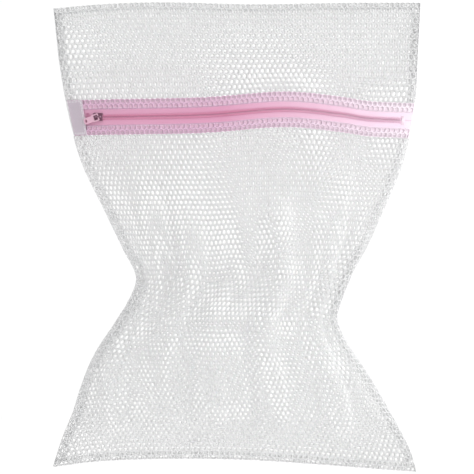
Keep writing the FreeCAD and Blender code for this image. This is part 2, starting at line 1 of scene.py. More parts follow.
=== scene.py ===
import math

import bmesh
import bpy
import numpy as np
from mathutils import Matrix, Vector


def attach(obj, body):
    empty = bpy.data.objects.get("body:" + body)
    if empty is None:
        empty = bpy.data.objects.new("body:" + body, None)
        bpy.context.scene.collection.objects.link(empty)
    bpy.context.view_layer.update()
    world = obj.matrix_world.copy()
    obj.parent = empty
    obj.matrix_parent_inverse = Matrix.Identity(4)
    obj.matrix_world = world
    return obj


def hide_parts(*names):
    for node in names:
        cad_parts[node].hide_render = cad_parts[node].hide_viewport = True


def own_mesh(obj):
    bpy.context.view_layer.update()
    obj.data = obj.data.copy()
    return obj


# A mesh laundry bag hanging from its top edge. Lengths in this file are millimetres in the row
# frame unless a name says metres: X across the bag, the front faces -Y, Z up, and the origin is
# the middle of the top edge.

MM = 0.001
CLOTH_WIDTH = 300.0
CELL_PITCH = 4.35
CELL_ROW = 4.4
HOLE_WIDTH = 2.45
HOLE_HEIGHT = 3.4
STRAND_RIDGE = 0.3
YARN_JITTER = 0.11
# Distances from the zip's centre line: the tape's outer edge, the fold of the hem sewn over it
# and the place where the open net begins.
TAPE_EDGE = 14.2
HEM_FOLD = 6.6
PANEL_EDGE = 14.8

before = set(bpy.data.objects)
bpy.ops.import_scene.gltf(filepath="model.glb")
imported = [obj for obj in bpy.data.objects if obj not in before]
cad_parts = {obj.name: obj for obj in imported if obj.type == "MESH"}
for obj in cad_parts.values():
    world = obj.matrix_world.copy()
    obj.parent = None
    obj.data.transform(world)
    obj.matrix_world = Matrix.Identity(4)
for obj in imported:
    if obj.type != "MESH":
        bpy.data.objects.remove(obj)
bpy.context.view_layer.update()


# ---------------------------------------------------------------- shape of the bag

# Points of the outline: height, then x of the left and of the right edge.
LEFT_EDGE = [(-386, -151), (-360, -142.5), (-338, -133.7), (-327, -130.5), (-290, -116.3),
             (-262, -98.3), (-245, -87.2), (-228, -81.2), (-200, -94.1), (-167, -109.3),
             (-130, -126.5), (-84, -139), (-50, -145), (0, -150.4)]
RIGHT_EDGE = [(-386, 148), (-369, 143), (-349, 133), (-328, 121.5), (-304.6, 107.7),
              (-287, 96), (-271, 86.9), (-258, 83), (-244, 86.3), (-224.5, 94.3),
              (-200, 107.3), (-171, 119.6), (-129.5, 136), (-107, 141.8), (-77, 146.9),
              (-36, 149.5), (0, 151.4)]
# Height of the top and bottom edges along x.
TOP_EDGE = [(-151, -5), (-114, -1.6), (-84, -0.2), (27, -1.4), (80, -0.3), (152, 0)]
BOTTOM_EDGE = [(-151, -382), (-127, -378.6), (-57, -375.1), (3, -375.7), (81, -380.7), (149, -386)]
# Swell of the front, swell of the back and fullness (1 half ellipse, 0 parabola) by height.
SWELL = [(-386, 0.5, 0.5, 0.3), (-364, 19, 20, 0.5), (-338, 40, 41, 0.7), (-300, 59, 60, 0.9),
         (-261, 66, 67, 1.0), (-228, 63, 64, 1.0), (-200, 55, 57, 0.9), (-165, 43, 47, 0.75),
         (-130, 32, 39, 0.6), (-92, 19, 30, 0.4), (-48, 10, 16, 0.3), (0, 0.5, 0.5, 0.3)]
# Distance of each layer from the middle plane next to the seams.
SEAM_GAP = 1.3
BAG_TOP = 0.0
BAG_BOTTOM = -386.0
# Height of the middle of the zip where the front layers are cut for it.
ZIP_HEIGHT = -92.0


def ease(share):
    """0 to 1 with a soft start and end."""
    return share * share * (3 - 2 * share)


def smooth_line(points, column=1):
    """A smooth curve through (place, value, ...) rows, as a function of arrays."""
    rows = sorted(points)
    place = np.array([row[0] for row in rows], float)
    value = np.array([row[column] for row in rows], float)
    slope = np.gradient(value, place)

    def at(where):
        where = np.clip(np.asarray(where, float), place[0], place[-1])
        index = np.clip(np.searchsorted(place, where, side="right") - 1, 0, len(place) - 2)
        span = place[index + 1] - place[index]
        share = (where - place[index]) / span
        blend = ease(share)
        leave = share * (1 - share) ** 2 * span * slope[index]
        arrive = share * share * (share - 1) * span * slope[index + 1]
        return value[index] * (1 - blend) + value[index + 1] * blend + leave + arrive

    return at


left_edge = smooth_line(LEFT_EDGE)
right_edge = smooth_line(RIGHT_EDGE)
top_edge = smooth_line(TOP_EDGE)
bottom_edge = smooth_line(BOTTOM_EDGE)
front_swell = smooth_line(SWELL, 1)
back_swell = smooth_line(SWELL, 2)
fullness = smooth_line(SWELL, 3)

# ---------------------------------------------------------------- the zip's own frame

ZIP_RADIUS = 510.0
ZIP_LEAN = math.radians(5.0)
ZIP_ROLL = math.radians(0.4)
ZIP_FRONT = 23.6
ZIP_DROP = 94.7
TAPE_LEFT = -136.5
TAPE_RIGHT = 142.0
COIL_LEFT = -120.4
COIL_RIGHT = 134.8
# The sewn tape is a little wavy: it rides up this much around this place.
WAVE_RISE = 6.1
WAVE_MIDDLE = 43.0
WAVE_WIDTH = 50.0
WAVE_LEFT_END = -112
WAVE_RIGHT_END = 118


def band_ends(along, tuck):
    """x of the two ends of a band sewn into the side seams, at a place along the tape's width."""
    left_drop = 1.4
    height = along - ZIP_DROP
    return left_edge(height - left_drop) + tuck, right_edge(height) - tuck


def zip_turn():
    """Rotation of the zip's frame: leaning back, then rolled a little."""
    lean_cos, lean_sin = math.cos(-ZIP_LEAN), math.sin(-ZIP_LEAN)
    roll_cos, roll_sin = math.cos(ZIP_ROLL), math.sin(ZIP_ROLL)
    lean = np.array([[1, 0, 0], [0, lean_cos, -lean_sin], [0, lean_sin, lean_cos]])
    roll = np.array([[roll_cos, 0, roll_sin], [0, 1, 0], [-roll_sin, 0, roll_cos]])
    return roll @ lean


ZIP_TURN = zip_turn()


def tape_wave(x):
    """How far the sewn tape rides above the slider's path at x: nothing where the slider stops."""
    rise = WAVE_RISE * np.exp(-((x - WAVE_MIDDLE) / WAVE_WIDTH) ** 2)
    return rise * ease(np.clip((WAVE_RIGHT_END - x) / 30, 0, 1)
                       * np.clip((x - WAVE_LEFT_END) / 40, 0, 1))


def on_zip(x, out, along):
    """Points at x across the bag, out in front of the tape's middle, along the tape's width."""
    x, out, along = np.broadcast_arrays(*[np.asarray(item, float) for item in (x, out, along)])
    angle = np.arcsin(x / ZIP_RADIUS)
    reach = ZIP_RADIUS + out
    local = np.stack([reach * np.sin(angle), ZIP_RADIUS - reach * np.cos(angle), along], -1)
    points = local @ ZIP_TURN.T + np.array([0, -ZIP_FRONT, -ZIP_DROP])
    points[..., 2] += tape_wave(x)
    return points


# ---------------------------------------------------------------- coarse skins of the layers

GRID_ACROSS = 121
WAIST_HEIGHT = -240
FAN_HEIGHT = -330
FOLD_LENGTH = 46.0
FINE_FOLD_LENGTH = 29
FOLD_HEIGHT = 4.6
DRIFT_HEIGHT = 2.2


def section(height, share, facing):
    """x and y of a layer at a height, at shares 0 to 1 of the cloth from left to right."""
    left, right = left_edge(height), right_edge(height)
    centre, half = (left + right) / 2, (right - left) / 2
    swell = front_swell(height) if facing < 0 else back_swell(height)
    full = fullness(height)
    angle = np.linspace(0, math.pi, 241)
    bulge = full * np.sin(angle) + (1 - full) * np.sin(angle) ** 2
    x = centre - half * np.cos(angle)
    depth = SEAM_GAP * np.clip(np.sin(angle) * 4, 0.25, 1) + swell * bulge
    run = np.concatenate([[0], np.cumsum(np.hypot(np.diff(x), np.diff(depth)))])
    want = np.asarray(share) * run[-1]
    return np.interp(want, run, x), facing * np.interp(want, run, depth)


def add_folds(points, facing, calm):
    """Push upright folds into a layer, deepest where its cloth is gathered at the waist."""
    rows, across = points.shape[:2]
    share = np.linspace(0, 1, across)[None, :]
    height = points[:, :, 2]
    gather = np.exp(-((height - WAIST_HEIGHT) / 62) ** 2)
    fan = np.exp(-((height - FAN_HEIGHT) / 40) ** 2) * 0.45
    lean = 0.055 * (height - WAIST_HEIGHT) / 100 * (share - 0.5)
    phase = 0.7 if facing < 0 else 2.3
    waves = np.sin((share + lean) * CLOTH_WIDTH / FOLD_LENGTH * 2 * math.pi + phase)
    waves += 0.55 * np.sin((share - lean) * CLOTH_WIDTH / FINE_FOLD_LENGTH * 2 * math.pi
                           + phase * 2.1 + height / 90)
    drift = 0.35 * np.sin(height / 47 + share * 9 + phase) + 0.25 * np.sin(height / 83 - share * 14)
    edge = np.clip(np.sin(share * math.pi) * 2.2, 0, 1)
    push = (waves * FOLD_HEIGHT * (gather + fan) + drift * DRIFT_HEIGHT) * edge * calm
    along = np.gradient(points, axis=1)
    down = np.gradient(points, axis=0)
    normal = np.cross(down, along)
    normal /= np.linalg.norm(normal, axis=-1, keepdims=True)
    if np.mean(normal[:, :, 1]) * facing < 0:
        normal = -normal
    return points + normal * push[:, :, None]


def even_rows(low, high, facing, count):
    """Heights whose rows lie evenly down the cloth from high to low, and the cloth's length."""
    heights = np.linspace(high, low, 200)
    quarters = np.linspace(0, 1, 5)
    points = []
    for height in heights:
        x, y = section(height, quarters, facing)
        points.append(np.stack([x, y, np.full(5, height)], -1))
    points = np.array(points)
    steps = np.linalg.norm(np.diff(points, axis=0), axis=-1).mean(1)
    run = np.concatenate([[0], np.cumsum(steps)])
    return np.interp(np.linspace(0, run[-1], count), run, heights), run[-1]


def layer(facing, start, end, count):
    """Coarse grid of a layer between two heights, and the cloth's length between them."""
    heights, length = even_rows(end, start, facing, count)
    share = np.linspace(0, 1, GRID_ACROSS)
    grid = np.zeros((count, GRID_ACROSS, 3))
    for row, height in enumerate(heights):
        x, y = section(height, share, facing)
        grid[row] = np.stack([x, y, np.full(GRID_ACROSS, height)], -1)
    return grid, length


def fit_edges(grid, top=None, bottom=None):
    """Bring the first and last rows of a grid onto given lines, easing out over the rows."""
    rows = grid.shape[0]
    reach = 0.45
    down = np.linspace(0, 1, rows)[:, None, None]
    result = grid.copy()
    if top is not None:
        result += (top - grid[0])[None] * ease(np.clip(1 - down / reach, 0, 1))
    if bottom is not None:
        result += (bottom - grid[-1])[None] * ease(np.clip(1 - (1 - down) / reach, 0, 1))
    return result


def outer_line(edge, facing, low):
    """The line along which a layer is sewn at the top or the bottom of the bag."""
    share = np.linspace(0, 1, GRID_ACROSS)
    height = BAG_BOTTOM if low else BAG_TOP
    x, y = section(height, share, facing)
    return np.stack([x, y, edge(x)], -1)


def zip_line(along):
    """The line along which a front layer meets the fold of its hem."""
    share = np.linspace(0, 1, GRID_ACROSS)
    height = ZIP_HEIGHT + along
    left, right = left_edge(height), right_edge(height)
    inset = 0.4
    x = np.clip(left + (right - left) * share, left + inset, right - inset)
    return on_zip(x, 0.95, along)


def calm_mask(rows, top_calm, bottom_calm):
    """1 in the open cloth, easing to 0 at the sewn first and last rows."""
    down = np.linspace(0, 1, rows)[:, None]
    return ease(np.clip(down / top_calm, 0, 1) * np.clip((1 - down) / bottom_calm, 0, 1))


def make_skins():
    """The three net layers as coarse grids with the length of cloth each one takes."""
    skins = {}
    rows = 161
    grid, length = layer(1, BAG_TOP, BAG_BOTTOM, rows)
    grid = add_folds(grid, 1, calm_mask(rows, 0.12, 0.12))
    grid = fit_edges(grid, outer_line(top_edge, 1, False), outer_line(bottom_edge, 1, True))
    skins["net_back"] = (grid, length)

    rows = 121
    grid, length = layer(-1, ZIP_HEIGHT - PANEL_EDGE, BAG_BOTTOM, rows)
    grid = add_folds(grid, -1, calm_mask(rows, 0.22, 0.14))
    grid = fit_edges(grid, zip_line(-PANEL_EDGE), outer_line(bottom_edge, -1, True))
    skins["net_front_lower"] = (grid, length)

    rows = 41
    grid, length = layer(-1, BAG_TOP, ZIP_HEIGHT + PANEL_EDGE, rows)
    grid = add_folds(grid, -1, calm_mask(rows, 0.3, 0.3) * 0.8)
    grid = fit_edges(grid, outer_line(top_edge, -1, False), zip_line(PANEL_EDGE))
    skins["net_front_upper"] = (grid, length)
    return skins


def sampler(grid):
    """Reads a coarse grid, and its outward normal, at shares across and down."""
    rows, across = grid.shape[:2]
    along = np.gradient(grid, axis=1)
    down = np.gradient(grid, axis=0)
    normal = np.cross(down, along)
    normal /= np.maximum(np.linalg.norm(normal, axis=-1, keepdims=True), 1e-9)

    def bilinear(field, u, v):
        column = np.clip(u, 0, 1) * (across - 1)
        row = np.clip(v, 0, 1) * (rows - 1)
        c0 = np.clip(column.astype(int), 0, across - 2)
        r0 = np.clip(row.astype(int), 0, rows - 2)
        fc = (column - c0)[..., None]
        fr = (row - r0)[..., None]
        upper = field[r0, c0] * (1 - fc) + field[r0, c0 + 1] * fc
        lower = field[r0 + 1, c0] * (1 - fc) + field[r0 + 1, c0 + 1] * fc
        return upper * (1 - fr) + lower * fr

    def at(u, v):
        place = bilinear(grid, u, v)
        out = bilinear(normal, u, v)
        out /= np.maximum(np.linalg.norm(out, axis=-1, keepdims=True), 1e-9)
        return place, out

    return at


# ---------------------------------------------------------------- mesh helpers


def mesh_piece(name, points, faces):
    """A smooth mesh object from millimetre points and faces."""
    mesh = bpy.data.meshes.new(name)
    mesh.from_pydata((np.asarray(points) * MM).tolist(), [], [list(face) for face in faces])
    mesh.validate()
    mesh.update()
    mesh.shade_smooth()
    piece = bpy.data.objects.new(name, mesh)
    bpy.context.scene.collection.objects.link(piece)
    return piece


def net_cells(width, length, pitch, row_step, hole_width, hole_height, jitter=0.0, seed=1,
              shifted_row=1):
    """Flat honeycomb net of a width by a length, as points (across, down, side) and faces.

    Rows shifted by half a cell are the odd ones, or the even ones where shifted_row is 0.

    side is 1 or -1 on the ridges of the two faces and 0 on the rim of a hole. The outermost
    ridges of both faces are one line, so the net is a closed mesh.
    """
    columns = max(2, int(round(width / pitch)))
    rows = max(2, int(round(length / row_step)))
    step_x, step_y = width / columns, length / rows
    corner_y = step_y / 2 + step_x * step_x / 8 / step_y
    low_y = step_y - corner_y
    hole_x, hole_y = hole_width / 2, hole_height / 2
    flat_x = hole_x * 0.36
    side_y = hole_y * 0.5
    holes = [(-flat_x, -hole_y), (flat_x, -hole_y), (hole_x, -side_y), (hole_x, side_y),
             (flat_x, hole_y), (-flat_x, hole_y), (-hole_x, side_y), (-hole_x, -side_y)]
    corners = [(0, -corner_y), (step_x / 2, -low_y), (step_x / 2, low_y),
               (0, corner_y), (-step_x / 2, low_y), (-step_x / 2, -low_y)]
    ring = [((0,), (0, 1)), ((0, 1), (1, 2)), ((1, 2), (2, 3)), ((2, 3), (3, 4)), ((3,), (4, 5)),
            ((3, 4), (5, 6)), ((4, 5), (6, 7)), ((5, 0), (7, 0))]
    draw = np.random.default_rng(seed)
    found = {}
    borders = {}
    cells = []
    for row in range(rows):
        odd = row % 2 == shifted_row
        for column in range(columns + (1 if odd else 0)):
            middle_x = (column + (0.0 if odd else 0.5)) * step_x
            middle_y = (row + 0.5) * step_y
            keys = []
            for x, y in corners:
                place_x = min(max(middle_x + x, 0.0), width)
                place_y = min(max(middle_y + y, 0.0), length)
                key = (round(place_x * 50), round(place_y * 50))
                found.setdefault(key, (place_x, place_y))
                keys.append(key)
            for first, second in zip(keys, keys[1:] + keys[:1]):
                if first != second:
                    border = (min(first, second), max(first, second))
                    borders[border] = borders.get(border, 0) + 1
            cells.append((middle_x, middle_y, keys))
    points = []
    index = {}
    for key, (x, y) in found.items():
        index[key] = (len(points), len(points) + 1)
        if 0 < x < width and 0 < y < length:
            move = draw.normal(0, jitter, 2)
            x = min(max(x + move[0], 0.1), width - 0.1)
            y = min(max(y + move[1], 0.1), length - 0.1)
        points.append((x, y, 1.0))
        points.append((x, y, -1.0))
    margin = 0.8
    faces = []
    for middle_x, middle_y, keys in cells:
        start = len(points)
        middle_x += draw.normal(0, jitter)
        middle_y += draw.normal(0, jitter)
        for x, y in holes:
            place_x = min(max(middle_x + x, margin), width - margin)
            place_y = min(max(middle_y + y, margin), length - margin)
            points.append((place_x, place_y, 0.0))
        for outer, inner in ring:
            for side in (0, 1):
                face = [index[keys[i]][side] for i in outer] + [start + i for i in inner[::-1]]
                face = [value for n, value in enumerate(face) if value not in face[:n]]
                faces.append(face if side == 0 else face[::-1])
    for (first, second), count in borders.items():
        if count == 1:
            faces.append([index[first][0], index[second][0], index[second][1], index[first][1]])
    return np.array(points), faces


def net_on_skin(name, grid, length, seed, shifted_row):
    """A net layer mapped onto its coarse grid."""
    flat, faces = net_cells(CLOTH_WIDTH, length, CELL_PITCH, CELL_ROW,
                            HOLE_WIDTH, HOLE_HEIGHT, YARN_JITTER, seed, shifted_row)
    place, out = sampler(grid)(flat[:, 0] / CLOTH_WIDTH, flat[:, 1] / length)
    points = place + out * (flat[:, 2] * STRAND_RIDGE)[:, None]
    return mesh_piece(name, points, faces)


def tube(path, radius, sides=6):
    """Points and faces of a round tube along a path of points, capped at its ends."""
    path = np.asarray(path, float)
    ahead = np.gradient(path, axis=0)
    ahead /= np.maximum(np.linalg.norm(ahead, axis=-1, keepdims=True), 1e-9)
    guide = np.array([0.0, -1.0, 0.12])
    side = np.cross(ahead, guide)
    side /= np.maximum(np.linalg.norm(side, axis=-1, keepdims=True), 1e-9)
    up = np.cross(side, ahead)
    turn = np.linspace(0, 2 * math.pi, sides, endpoint=False)
    rings = (path[:, None] + radius * (np.cos(turn)[None, :, None] * side[:, None]
                                       + np.sin(turn)[None, :, None] * up[:, None]))
    faces = []
    last = (len(path) - 1) * sides
    for start in range(0, last, sides):
        for k in range(sides):
            m = (k + 1) % sides
            faces.append([start + k, start + m, start + sides + m, start + sides + k])
    faces.append(list(range(sides))[::-1])
    faces.append([last + k for k in range(sides)])
    return rings.reshape(-1, 3), faces


def join(parts):
    """Many (points, faces) as one."""
    points = []
    faces = []
    start = 0
    for part_points, part_faces in parts:
        points.append(np.asarray(part_points))
        faces += [[index + start for index in face] for face in part_faces]
        start += len(part_points)
    return np.concatenate(points), faces


def slab(place, steps_along, steps_across):
    """A closed strip, whose place(u, v, side) gives the points of its front and its back."""
    u = np.linspace(0, 1, steps_along + 1)
    v = np.linspace(0, 1, steps_across + 1)
    grid_u, grid_v = np.meshgrid(u, v, indexing="ij")
    front = place(grid_u, grid_v, 1.0)
    back = place(grid_u, grid_v, -1.0)
    columns = steps_across + 1
    rows = steps_along + 1
    total = rows * columns
    points = np.concatenate([front.reshape(-1, 3), back.reshape(-1, 3)])
    faces = []
    for i in range(steps_along):
        for j in range(steps_across):
            a = i * columns + j
            quad = [a, a + 1, a + columns + 1, a + columns]
            faces.append(quad)
            faces.append([total + k for k in quad[::-1]])
    rim = [i * columns for i in range(rows)]
    rim += [(rows - 1) * columns + j for j in range(1, columns)]
    rim += [i * columns + columns - 1 for i in range(rows - 2, -1, -1)]
    rim += [j for j in range(columns - 2, 0, -1)]
    for n, a in enumerate(rim):
        b = rim[(n + 1) % len(rim)]
        faces.append([a, b, total + b, total + a][::-1])
    return points, faces


def store_across(piece, distance):
    """Keep each point's distance from the zip's centre line, in millimetres, on the mesh."""
    across = piece.data.attributes.new("across", "FLOAT", "POINT")
    across.data.foreach_set("value", np.asarray(distance, np.float32))


def fix_normals(piece):
    """Make the faces of a closed mesh point outwards."""
    work = bmesh.new()
    work.from_mesh(piece.data)
    bmesh.ops.recalc_face_normals(work, faces=work.faces)
    work.to_mesh(piece.data)
    work.free()
    return piece


# ---------------------------------------------------------------- materials


# The zip's colours change along the bag's width between these places, in metres, and turn paler to
# the right with painted light.
PAINTED_LIGHT_LEFT = -0.14
PAINTED_LIGHT_RIGHT = 0.142


class Material:
    """A node material with a Principled shader, built step by step."""

    def __init__(self, name, colour, roughness, **sockets):
        self.material = bpy.data.materials.new(name)
        self.material.use_nodes = True
        self.nodes = self.material.node_tree.nodes
        self.links = self.material.node_tree.links
        self.shader = self.nodes["Principled BSDF"]
        self.shader.inputs["Base Color"].default_value = (*colour, 1)
        self.shader.inputs["Roughness"].default_value = roughness
        for socket, value in sockets.items():
            self.shader.inputs[socket.replace("_", " ")].default_value = value
        coordinates = self.nodes.new("ShaderNodeTexCoord")
        self.place = coordinates.outputs["Object"]

    def turned(self, turn):
        """Object coordinates turned about the origin."""
        mapping = self.nodes.new("ShaderNodeMapping")
        mapping.inputs["Rotation"].default_value = turn
        self.links.new(self.place, mapping.inputs["Vector"])
        return mapping.outputs["Vector"]

    def noise(self, scale, detail=3.0):
        """Noise whose features are about 1/scale metres."""
        node = self.nodes.new("ShaderNodeTexNoise")
        node.inputs["Scale"].default_value = scale
        node.inputs["Detail"].default_value = detail
        self.links.new(self.turned((0, 0, 0)), node.inputs["Vector"])
        return node.outputs["Fac"]

    def wave(self, scale, direction="X", turn=(0, 0, 0), distort=0.0):
        """Sine bands along one axis of the turned object coordinates."""
        node = self.nodes.new("ShaderNodeTexWave")
        node.bands_direction = direction
        node.inputs["Scale"].default_value = scale
        node.inputs["Distortion"].default_value = distort
        self.links.new(self.turned(turn), node.inputs["Vector"])
        return node.outputs["Fac"]

    def math(self, operation, first, second):
        """One arithmetic step between sockets or numbers."""
        node = self.nodes.new("ShaderNodeMath")
        node.operation = operation
        for socket, value in zip(node.inputs, (first, second)):
            if isinstance(value, (int, float)):
                socket.default_value = value
            else:
                self.links.new(value, socket)
        return node.outputs[0]

    def ramp(self, factor, stops):
        """Colour ramp over a factor: stops are (place, colour)."""
        node = self.nodes.new("ShaderNodeValToRGB")
        elements = node.color_ramp.elements
        while len(elements) < len(stops):
            elements.new(0.5)
        for element, (position, colour) in zip(elements, stops):
            element.position = position
            element.color = (*colour, 1)
        self.links.new(factor, node.inputs["Fac"])
        return node.outputs["Color"]

    def mix(self, factor, first, second):
        """Mix of two colours."""
        node = self.nodes.new("ShaderNodeMix")
        node.data_type = "RGBA"
        for socket, value in ((node.inputs[0], factor), (node.inputs[6], first),
                              (node.inputs[7], second)):
            if isinstance(value, (int, float)):
                socket.default_value = value
            elif isinstance(value, tuple):
                socket.default_value = (*value, 1)
            else:
                self.links.new(value, socket)
        return node.outputs[2]

    def axis(self, name, low, high):
        """0 to 1 along one object axis between two places in metres."""
        split = self.nodes.new("ShaderNodeSeparateXYZ")
        self.links.new(self.place, split.inputs[0])
        node = self.nodes.new("ShaderNodeMapRange")
        node.inputs["From Min"].default_value = low
        node.inputs["From Max"].default_value = high
        self.links.new(split.outputs[name], node.inputs["Value"])
        return node.outputs["Result"]

    def attribute(self, name):
        """A number stored on the mesh's points."""
        node = self.nodes.new("ShaderNodeAttribute")
        node.attribute_name = name
        return node.outputs["Fac"]

    def paint_light_to_right(self, tone, painted_light_tone):
        """The tone with painted light: paler from the middle of the bag to its right, where the
        light falls stronger.
        """
        if painted_light_tone is None:
            return tone
        painted_light_share = self.ramp(self.axis("X", PAINTED_LIGHT_LEFT, PAINTED_LIGHT_RIGHT),
                         [(0.0, (0, 0, 0)), (0.45, (0, 0, 0)), (1.0, (1, 1, 1))])
        return self.mix(painted_light_share, tone, painted_light_tone)

    def colour(self, socket):
        """Link the base colour."""
        self.links.new(socket, self.shader.inputs["Base Color"])

    def rough(self, factor, low, high):
        """Roughness between two values by a factor."""
        node = self.nodes.new("ShaderNodeMapRange")
        node.inputs["To Min"].default_value = low
        node.inputs["To Max"].default_value = high
        self.links.new(factor, node.inputs["Value"])
        self.links.new(node.outputs["Result"], self.shader.inputs["Roughness"])

    def bump(self, height, strength, distance):
        """Bump from a height socket, distance in metres."""
        node = self.nodes.new("ShaderNodeBump")
        node.inputs["Strength"].default_value = strength
        node.inputs["Distance"].default_value = distance
        self.links.new(height, node.inputs["Height"])
        self.links.new(node.outputs["Normal"], self.shader.inputs["Normal"])


def net_material(name, light, dark, painted_light_tone=None, translucent=0.8):
    """Knitted polyester net of translucent yarn, paler to the right with painted light where a tone
    for it is given.
    """
    material = Material(name, light, 0.5, Sheen_Weight=0.25, Sheen_Roughness=0.4,
                        Subsurface_Weight=translucent, Subsurface_Scale=0.004)
    material.shader.inputs["Subsurface Radius"].default_value = (1.0, 1.0, 1.0)
    twist = material.wave(900, "DIAGONAL", distort=1.5)
    fuzz = material.noise(2600, 2.0)
    patches = material.noise(16, 3.0)
    tone = material.mix(patches, light, dark)
    tone = material.mix(material.math("MULTIPLY", twist, 0.22), tone, dark)
    material.colour(material.paint_light_to_right(tone, painted_light_tone))
    material.rough(fuzz, 0.42, 0.62)
    material.bump(material.math("ADD", twist, material.math("MULTIPLY", fuzz, 0.6)), 0.5, 0.00012)
    return material.material


def tape_material(name, light, deep, painted_light_tone):
    """Woven zip tape: fine herringbone ribs, paler under the net of the hem, paler at one end with
    painted light, and with painted shadow along its outer edge.
    """
    material = Material(name, light, 0.55, Sheen_Weight=0.35, Sheen_Roughness=0.35)
    ribs = material.wave(420, "X", turn=(0, math.radians(38), 0))
    picks = material.wave(640, "Z")
    weave = material.math("MULTIPLY", ribs, picks)
    patches = material.noise(38, 3.0)
    along = material.axis("X", PAINTED_LIGHT_LEFT, PAINTED_LIGHT_RIGHT)
    # Painted light: the tape turns paler towards its right end.
    tone = material.ramp(along, [(0.0, deep), (0.45, light), (1.0, painted_light_tone)])
    tone = material.mix(material.math("MULTIPLY", patches, 0.25), tone, deep)
    tone = material.mix(material.math("MULTIPLY", weave, 0.16), tone, deep)
    under_hem = material.math("DIVIDE", material.attribute("across"), TAPE_EDGE)
    veil = material.ramp(under_hem, [(0.0, (0, 0, 0)), (0.4, (0, 0, 0)), (0.52, (0.6, 0.6, 0.6)),
                                     (0.84, (0.7, 0.7, 0.7)), (1.0, (0.5, 0.5, 0.5))])
    # The tone under the hem also turns paler to the right with painted light.
    under = material.ramp(along, [(0.0, (0.90, 0.66, 0.80)), (0.45, (0.93, 0.71, 0.85)),
                                  (1.0, (1.0, 0.93, 0.98))])
    tone = material.mix(veil, tone, under)
    # Painted shadow: a dark grey-lilac band along the tape's outer edge, where the net of the hem
    # shades it.
    rim = material.ramp(under_hem, [(0.0, (0, 0, 0)), (0.83, (0, 0, 0)), (0.9, (0.5, 0.5, 0.5))])
    tone = material.mix(rim, tone, (0.50, 0.42, 0.48))
    material.colour(tone)
    material.rough(patches, 0.48, 0.66)
    material.bump(weave, 0.6, 0.00015)
    return material.material


def thread_material(name, light, dark, painted_light_tone=None):
    """Spun sewing thread with visible twist, paler to the right with painted light where a tone for
    it is given.
    """
    material = Material(name, light, 0.45, Sheen_Weight=0.2)
    twist = material.wave(1700, "DIAGONAL")
    tone = material.mix(material.math("MULTIPLY", twist, 0.4), light, dark)
    material.colour(material.paint_light_to_right(tone, painted_light_tone))
    material.rough(material.noise(900, 2.0), 0.35, 0.55)
    material.bump(twist, 0.4, 0.0001)
    return material.material


HEAD_SHADE = (0.56, 0.17, 0.33)


def nylon_material(name, light, dark, painted_light_tone):
    """Smooth nylon of the coil, paler towards one end with painted light, with painted shade
    between its heads.
    """
    material = Material(name, light, 0.32, Coat_Weight=0.15)
    patches = material.noise(120, 3.0)
    along = material.axis("X", PAINTED_LIGHT_LEFT, PAINTED_LIGHT_RIGHT)
    # Painted light: the coil turns paler towards its right end.
    tone = material.ramp(along, [(0.0, dark), (0.5, light), (1.0, painted_light_tone)])
    tone = material.mix(material.math("MULTIPLY", patches, 0.3), tone, dark)
    heads = material.ramp(material.attribute("across"),
                          [(0.0, (0.8, 0.8, 0.8)), (0.36, (0.8, 0.8, 0.8)), (0.5, (0, 0, 0))])
    material.colour(material.mix(heads, tone, HEAD_SHADE))
    material.rough(patches, 0.26, 0.4)
    material.bump(material.noise(2400, 2.0), 0.15, 0.00004)
    return material.material


def paint_material(name, light, wear, rough, coat):
    """Enamel on a die-cast zip part, rubbed a little along its edges."""
    material = Material(name, light, rough, Coat_Weight=coat)
    geometry = material.nodes.new("ShaderNodeNewGeometry")
    edges = material.ramp(geometry.outputs["Pointiness"],
                          [(0.0, (0, 0, 0)), (0.53, (0, 0, 0)), (0.6, (1, 1, 1))])
    rub = material.math("MULTIPLY", edges, material.noise(700, 3.0))
    spots = material.noise(380, 4.0)
    tone = material.mix(rub, light, wear)
    tone = material.mix(material.math("MULTIPLY", spots, 0.15), tone, wear)
    material.colour(tone)
    material.rough(spots, rough * 0.8, rough * 1.3)
    material.bump(material.noise(520, 3.0), 0.12, 0.00006)
    return material.material


# The tones that make NET_HEM, TAPE, COIL and PINK_THREAD paler to the right are painted light.
NET = net_material("net_yarn", (0.835, 0.84, 0.845), (0.765, 0.77, 0.78), None, 1.0)
# The hem is the same white yarn as the net; its pink is painted light, the pink tape's colour
# showing through the yarn.
NET_HEM = net_material("net_hem", (0.79, 0.54, 0.70), (0.73, 0.46, 0.63), (0.94, 0.83, 0.91), 0.0)
NET_DENSE = net_material("net_seam", (0.97, 0.975, 0.98), (0.93, 0.935, 0.94), None, 0.0)
GARAGE = net_material("garage_cloth", (0.65, 0.59, 0.655), (0.56, 0.47, 0.55))
TAPE = tape_material("tape_weave", (0.72, 0.335, 0.50), (0.76, 0.405, 0.565), (0.96, 0.80, 0.92))
COIL = nylon_material("coil_nylon", (0.88, 0.39, 0.58), (0.86, 0.38, 0.56), (0.97, 0.78, 0.91))
CORE = thread_material("core_cord", (0.84, 0.40, 0.58), (0.72, 0.30, 0.46))
PINK_THREAD = thread_material("pink_thread", (0.62, 0.24, 0.40), (0.48, 0.16, 0.29),
                              (1.0, 0.86, 0.94))
HEM_THREAD = thread_material("hem_thread", (0.98, 0.82, 0.92), (0.92, 0.70, 0.84))
WHITE_THREAD = thread_material("white_thread", (0.97, 0.97, 0.97), (0.92, 0.92, 0.925))
SLIDER_PAINT = paint_material("slider_enamel", (0.13, 0.03, 0.07), (0.42, 0.27, 0.34), 0.42, 0.1)
TAB_PAINT = paint_material("tab_enamel", (0.70, 0.40, 0.52), (0.90, 0.70, 0.79), 0.3, 0.35)


def finish_piece(piece, material, slot, *nodes):
    """Give a piece of the bag its material, hide the nodes it stands for and attach it to the bag;
    slot is not used.
    """
    piece.data.materials.clear()
    piece.data.materials.append(material)
    if nodes:
        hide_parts(*nodes)
    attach(piece, "bag")
    return piece


# ---------------------------------------------------------------- the pieces


